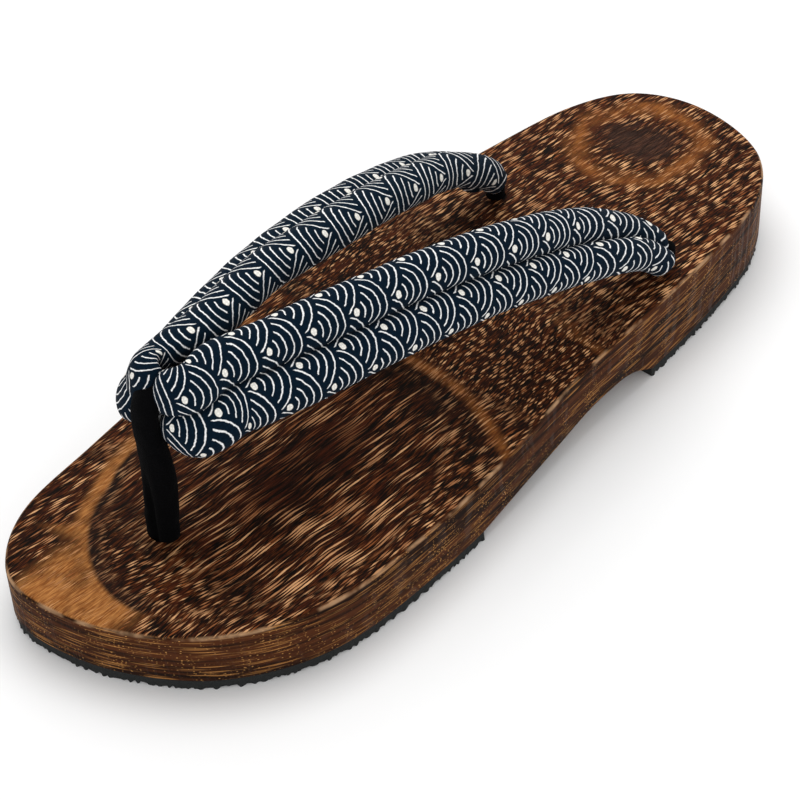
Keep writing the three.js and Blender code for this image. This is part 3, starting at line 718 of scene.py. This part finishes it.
def rollPoint(path, v):
    # v goes round the section from the inner groove by the lower edge, the outer groove and the upper edge
    quarter = min(3, int(v * 4))
    share = v * 4 - quarter
    onOuter = quarter in (1, 2)
    upper = quarter >= 2
    angle = math.pi * (share if quarter in (0, 2) else 1 - share)
    off = -math.cos(angle)
    groove = strap["outerGroove"] if onOuter else strap["innerGroove"]
    arm = 1 if path > 0 else -1
    nose = math.exp(-(path / strap["noseReach"][arm]) ** 2) if onOuter else 0
    groove += (strap["noseGroove"][arm] - groove) * nose
    pinch = 1 - groove * groove if off < 0 else 1
    full = strap["fullness"] if off < 0 else 2
    height = math.sqrt(max(0.0, 1 - abs(off) ** full * pinch))
    side = (1 + off) / 2 * (1 if upper else -1)
    return side, height if onOuter else -height, angle


def strapPoint(path, v):
    easing = strap["ringEasing"]
    forward = (strapCentre(path + easing) - strapCentre(path - easing)).normalized()
    outward = Vector((forward.y, -forward.x, 0)).normalized()
    lean = math.radians(strapLean(path))
    face = outward * math.sin(lean) + Vector((0, 0, math.cos(lean)))
    face = (face - forward * face.dot(forward)).normalized()
    across = face.cross(forward)
    closing = min(1, (armLength - abs(path)) / strap["endRound"])
    swell = math.sqrt(max(0.0, 1 - (1 - closing) ** 2))
    side, height, angle = rollPoint(path, v)
    # the stuffing is a little uneven, and the stitching in the groove gathers the cloth
    lump = noise.noise(Vector((path / strap["lumpLength"], side * 1.3, 3.1 + height))) * strap["lumps"]
    gather = noise.noise(Vector((path / strap["puckerLength"], side * 3, 8.7)))
    gather += 0.6 * noise.noise(Vector((path / strap["slowPucker"], side * 4, 1.7)))
    lump += strap["pucker"] * gather * math.exp(-(angle / strap["puckerReach"]) ** 2)
    thick = height * strapHalfThick(path) * (1 + lump)
    if height < 0:
        thick *= strapInner(path)
    wide = side * strapHalfWidth(path) * (1 + lump * 0.4)
    return strapCentre(path) + (across * wide + face * thick) * swell


def sweptSheet(name, stepsAlong, stepsRound, point):
    # a grid whose corners go to their places; it is closed round and drawn to a point at both ends
    pickNone()
    bpy.ops.mesh.primitive_grid_add(
        x_subdivisions=stepsAlong, y_subdivisions=stepsRound, size=2, location=(0, 0, 0))
    sheet = bpy.context.object
    sheet.name = sheet.data.name = name
    places = {}
    for corner in sheet.data.vertices:
        along = round((corner.co.x + 1) / 2, 6)
        about = round((corner.co.y + 1) / 2, 6)
        places[corner.index] = (along, about)
        corner.co = point(along, about) * mm
    return sheet, places


def closeSheet(sheet):
    editAll(sheet)
    bpy.ops.mesh.remove_doubles(threshold=0.02 * mm)
    faceOutward()
    bpy.ops.object.shade_smooth()


def lengthsAlong(sign):
    # true length along the top of the upper roll, at every millimetre of path
    top, most = 0.625, 2.5  # place round the section, and the longest step that counts, for the fold's turn
    lengths = [0.0]
    for path in range(1, int(armLength) + 2):
        step = strapPoint(sign * min(path, armLength), top) - strapPoint(sign * (path - 1), top)
        lengths.append(lengths[-1] + min(step.length, most))
    return lengths


armLengths = {sign: lengthsAlong(sign) for sign in (1, -1)}


def clothLength(path):
    # where a place on the path lies on the printed cloth, which is drawn out where it is pulled into the wood
    lengths = armLengths[1 if path >= 0 else -1]
    whole = int(abs(path))
    length = lengths[whole] + (lengths[whole + 1] - lengths[whole]) * (abs(path) - whole)
    pulled = strap["pulled"] * max(0.0, abs(path) - strap["pulledFrom"])
    start = strap["printFrom"]
    return math.copysign(length - pulled, path) + start - armLengths[1][start]


def strapPath(along):
    # closer together at the fold
    share = 2 * along - 1
    return armLength * math.copysign(abs(share) ** strap["foldCrowding"], share)


def makeStrap():
    sheet, places = sweptSheet(
        "strap_upper_padded", strap["ringsAlong"], strap["pointsRound"],
        lambda along, v: strapPoint(strapPath(along), v),
    )
    # cloth coordinates in millimetres: along the path, and round the section from the outer groove's middle
    rings = {}
    for index, (along, v) in places.items():
        rings.setdefault(along, []).append((v, index))
    across = {}
    for along, ring in rings.items():
        ring.sort()
        way = [0.0]
        for (_, a), (_, b) in zip(ring, ring[1:]):
            way.append(way[-1] + (sheet.data.vertices[a].co - sheet.data.vertices[b].co).length / mm)
        middle = way[min(range(len(ring)), key=lambda i: abs(ring[i][0] - 0.5))]
        for (v, index), length in zip(ring, way):
            across[index] = length - middle
    cloth = sheet.data.uv_layers[0]
    cloth.name = "cloth"
    for loop in sheet.data.loops:
        index = loop.vertex_index
        cloth.data[loop.index].uv = (clothLength(strapPath(places[index][0])), across[index])
    closeSheet(sheet)
    return sheet


# Stuffing: how hard it presses, for how many frames, and how far the cotton may give, in millimetres
stuffing = {
    "ringsAlong": 170, "pointsRound": 36, "pressure": 200.0, "frames": 16, "furthest": 1.3, "stiffness": 8.0,
    "bending": 0.2, "weight": 0.2, "quality": 8,
    # held still: the fold and the rear ends, in millimetres of path, and the stitched seams
    "noseHeld": 26, "rearHeld": 18, "heldFade": 8, "seamHeld": 0.02,
}


def settleCotton(piece):
    # A short cloth simulation on a coarser copy of the strap. The stuffing presses the cotton out between the
    # held seams, and each point of the strap then moves with the nearest points of the copy.
    copy, places = sweptSheet(
        "strapCotton", stuffing["ringsAlong"], stuffing["pointsRound"],
        lambda along, v: strapPoint(strapPath(along), v),
    )
    held = copy.vertex_groups.new(name="held")
    for index, (along, v) in places.items():
        path = abs(strapPath(along))
        fromSeam = min(v, abs(v - 0.5), 1 - v)
        nose = min(1.0, max(0.0, (stuffing["noseHeld"] - path) / stuffing["heldFade"]))
        rearEnd = min(1.0, max(0.0, (path - armLength + stuffing["rearHeld"]) / stuffing["heldFade"]))
        stitched = 1.0 if fromSeam < stuffing["seamHeld"] else 0.0
        held.add([index], max(nose, rearEnd, stitched), "REPLACE")
    closeSheet(copy)
    before = [corner.co.copy() for corner in copy.data.vertices]
    cotton = copy.modifiers.new("cotton", "CLOTH")
    cloth = cotton.settings
    cloth.vertex_group_mass = "held"
    cloth.quality = stuffing["quality"]
    cloth.mass = stuffing["weight"]
    cloth.tension_stiffness = cloth.compression_stiffness = stuffing["stiffness"]
    cloth.bending_stiffness = stuffing["bending"]
    cloth.use_pressure = True
    cloth.uniform_pressure_force = stuffing["pressure"]
    cloth.effector_weights.gravity = 0
    cotton.collision_settings.use_collision = False
    scene = bpy.context.scene
    cotton.point_cache.frame_start = 1
    cotton.point_cache.frame_end = stuffing["frames"]
    for frameNumber in range(1, stuffing["frames"] + 1):
        scene.frame_set(frameNumber)
    applyAll(copy)
    scene.frame_set(1)
    near = KDTree(len(before))
    for index, place in enumerate(before):
        near.insert(place, index)
    near.balance()
    furthest = stuffing["furthest"] * mm
    moves = [corner.co - place for corner, place in zip(copy.data.vertices, before)]
    give = [move * furthest / (furthest + move.length) for move in moves]
    for corner in piece.data.vertices:
        shares = [(1 / (distance + 0.0002), index) for place, index, distance in near.find_n(corner.co, 4)]
        whole = sum(share for share, index in shares)
        corner.co += sum((give[index] * (share / whole) for share, index in shares), Vector())
    bpy.data.objects.remove(copy, do_unlink=True)
    print("cotton settled, most", round(max(move.length for move in give) / mm, 2), "mm")


paddedStrap = makeStrap()
settleCotton(paddedStrap)
print("strap swept", len(paddedStrap.data.polygons), "faces")


# Toe post: a folded strip that stands in front of the strap's fold and goes over it
post = {
    # path, y, z, half width, half thickness, shift along x
    "rows": [
        (0, -100.8, 3.7, 4, 3.4, 0), (17.3, -100.8, 21, 4.5, 3.8, 0), (28.3, -100.5, 32, 4.6, 4, 0.3),
        (39.3, -100.3, 43, 4.6, 3.9, 0.5), (48.3, -100.8, 52, 4.1, 3.5, 0),
        (56.9, -101.6, 60.6, 3.8, 2.9, -0.6), (61.4, -100.9, 65, 3.9, 2.5, -0.8),
        (65.7, -98.2, 68.3, 4.1, 2.2, -1), (70, -94.2, 69.4, 4.1, 2.1, -1),
        (74, -90.8, 67.6, 3.9, 2.1, -1), (78, -89, 64, 3.6, 2, -1),
    ],
    "creaseLeft": 0.6, "creaseEnd": 42, "creaseFade": 12, "creaseWide": 0.2, "nap": 0.05,
    "wider": 1.16, "endRound": 1.2, "ringsAlong": 120, "pointsRound": 48, "hole": (4.75, 4.05),
}
postLength = post["rows"][-1][0]
postCurves = [smoothCurve([(row[0], row[column]) for row in post["rows"]]) for column in range(1, 6)]


def postPoint(along, v):
    path = along * postLength
    postY, postZ, halfWidth, halfThick, shift = postCurves
    before, after = path - 0.5, path + 0.5
    wayY, wayZ = postY(after) - postY(before), postZ(after) - postZ(before)
    size = math.hypot(wayY, wayZ)
    wayY, wayZ = wayY / size, wayZ / size
    angle = fullTurn * v
    ends = min(1, path / post["endRound"], (postLength - path) / post["endRound"])
    swell = math.sqrt(max(0.0, 1 - (1 - ends) ** 2))
    creaseX = 0.12 * math.sin(path / 9)  # the fold's edge wanders a little
    folded = (1 - post["creaseLeft"]) * min(1, max(0, (post["creaseEnd"] - path) / post["creaseFade"]))
    crease = 1 - folded * math.exp(-(((math.cos(angle) - creaseX) / post["creaseWide"]) ** 2))
    nap = 1 + post["nap"] * noise.noise(Vector((path / 4, math.cos(angle) * 2, math.sin(angle) * 2)))
    out = halfThick(path) * crease * math.sin(angle) * swell * nap
    wide = halfWidth(path) * post["wider"] * math.cos(angle) * swell * nap
    middleX = strap["postFoot"][0] + shift(path)
    return Vector((middleX + wide, postY(path) + out * wayZ, postZ(path) - out * wayY))


def makePost():
    sheet = sweptSheet("toe_post_folded", post["ringsAlong"], post["pointsRound"], postPoint)[0]
    closeSheet(sheet)
    return sheet


toePost = makePost()

# Rear cords, mostly hidden in the strap's ends
cord = {
    "radius": 2.8, "top": 32.5, "foot": 3.7, "inward": 1.5, "behind": 2, "rounding": 1.6,
    "slices": (8, 30, 2), "unevenness": 0.12, "clearance": 0.25,
}


def cordPlace(side):
    tip = strapCentre(side * armLength)
    return tip.x - side * cord["inward"], tip.y + cord["behind"]


def makeCord(name, side):
    x, y = cordPlace(side)
    length = cord["top"] - cord["foot"]
    pickNone()
    bpy.ops.mesh.primitive_cylinder_add(
        vertices=32, radius=cord["radius"] * mm, depth=length * mm,
        location=(x * mm, y * mm, (cord["foot"] + length / 2) * mm))
    rod = bpy.context.object
    rod.name = rod.data.name = name
    bpy.ops.object.transform_apply(location=True, rotation=True, scale=True)
    pickEdges(rod, lambda a, b: abs(a.z - b.z) < 0.1 * mm)
    bpy.ops.mesh.bevel(offset=cord["rounding"] * mm, offset_type="OFFSET", segments=5, profile=0.5)
    bpy.ops.object.mode_set(mode="OBJECT")
    for height in range(*cord["slices"]):
        cutAcross(rod, height, (0, 0, 1))
    for corner in rod.data.vertices:
        twist = noise.noise(corner.co * 300) * cord["unevenness"] * mm
        out = Vector((corner.co.x - x * mm, corner.co.y - y * mm, 0))
        corner.co += out.normalized() * twist if out.length > 1e-6 else Vector()
    pickOnly(rod)
    bpy.ops.object.shade_smooth()
    return rod


cordOuter = makeCord("rear_cord_outer_rolled", 1)
cordInner = makeCord("rear_cord_inner_rolled", -1)

# the holes in the wood for the post and the cords
drillHole(sandalBase, "postHole", *strap["postFoot"], *post["hole"])
holeRadius = cord["radius"] + cord["clearance"]
for side in (1, -1):
    drillHole(sandalBase, "cordHole", *cordPlace(side), holeRadius, holeRadius)
pickOnly(sandalBase)
bpy.ops.object.shade_smooth_by_angle(angle=math.radians(32))
print("holes drilled")


# Rubber pads, cut by knife: the lower edge is ragged
pads = {
    "thickness": 3, "under": 23, "inset": 0.5, "toeEnd": -31.8, "heelStart": 50.7, "corners": 1700,
    "layers": (0.45, 0.3, 0.25), "rough": 0.2, "roughLength": 0.9,
    "nubs": 0.25, "nubLength": 1.3, "ragged": 1.0,
}


def makePad(name, cutY, keepToe):
    # drawn in as much as the leaning wall is, at the wood's foot
    inset = base["lean"] * pads["under"] + pads["inset"]
    pad = outlineDisc(name, pads["corners"], inset, pads["thickness"])
    cutAcross(pad, cutY, use_fill=False, clear_outer=keepToe, clear_inner=not keepToe)
    editAll(pad)
    for share in pads["layers"]:
        drop = -share * pads["thickness"] * mm
        bpy.ops.mesh.extrude_region_move(TRANSFORM_OT_translate={"value": (0, 0, drop)})
    faceOutward()
    belowTop = pads["thickness"] - 0.1
    for corner in pad.data.vertices:
        x, y, height = corner.co / mm
        outward = Vector((x, y / 2, 0)).normalized()
        rough = noise.noise(Vector((x / pads["roughLength"], y / pads["roughLength"], height / 2)))
        nub = noise.noise(Vector((x / pads["nubLength"], y / pads["nubLength"], 5.0)))
        if height < belowTop:
            stands = rough * pads["rough"] + max(0.0, nub) * (belowTop - height) * pads["nubs"]
            corner.co += outward * stands * mm
        if height < 0.1:
            corner.co.z = pads["ragged"] * min(1.0, max(0.0, 0.35 - 1.6 * nub)) * mm
    pickOnly(pad)
    bpy.ops.object.shade_smooth_by_angle(angle=math.radians(40))
    return pad


toePad = makePad("toe_rubber_cut", pads["toeEnd"], True)
heelPad = makePad("heel_rubber_cut", pads["heelStart"], False)
print("pads cut")

finishPiece(sandalBase, "wood_base", woodMaterial)
finishPiece(toePad, "toe_rubber", rubberMaterial)
finishPiece(heelPad, "heel_rubber", rubberMaterial)
finishPiece(paddedStrap, "strap_upper", printMaterial)
finishPiece(toePost, "toe_post", velvetMaterial)
finishPiece(cordOuter, "rear_cord_outer", velvetMaterial)
finishPiece(cordInner, "rear_cord_inner", velvetMaterial)


# Floor and light: a white studio table with a wide soft light over it
studio = {
    "floor": "#fcfcfc", "floorSize": 8, "worldStrength": 0.68,
    # name, place, target and size in metres, power in watts
    "lights": [
        ("overheadSoftLight", (-0.35, 0.35, 1.15), (0, -0.02, 0), 1.3, 9),
        ("sideSoftLight", (0.9, -0.9, 0.8), (0, 0, 0), 0.9, 2.5),
    ],
}


def makeStudio():
    pickNone()
    bpy.ops.mesh.primitive_plane_add(size=studio["floorSize"], location=(0, 0, 0))
    floor = bpy.context.object
    floor.name = "studio_floor"
    paper = newMaterial("white_table")  # matt white laminate, lit until it is nearly blank
    add = partial(addNode, paper.node_tree)
    white = linearColour(studio["floor"])
    shader = add("BsdfPrincipled", {"Base Color": white, "Roughness": 0.9, "Specular IOR Level": 0.1})
    add("OutputMaterial", {0: shader})
    floor.data.materials.append(paper)
    world = bpy.data.worlds.new("studio")
    world.use_nodes = True
    background = world.node_tree.nodes["Background"]
    background.inputs[0].default_value = linearColour("#ffffff")
    background.inputs[1].default_value = studio["worldStrength"]
    bpy.context.scene.world = world
    for name, place, target, size, power in studio["lights"]:
        bpy.ops.object.light_add(type="AREA", location=place)
        light = bpy.context.object
        light.name = name
        light.data.shape = "DISK"
        light.data.size = size
        light.data.energy = power
        light.rotation_euler = (Vector(target) - Vector(place)).to_track_quat("-Z", "Y").to_euler()
    bpy.context.scene.view_settings.view_transform = "Standard"
    bpy.context.scene.view_settings.look = "None"


makeStudio()
print("studio lit")
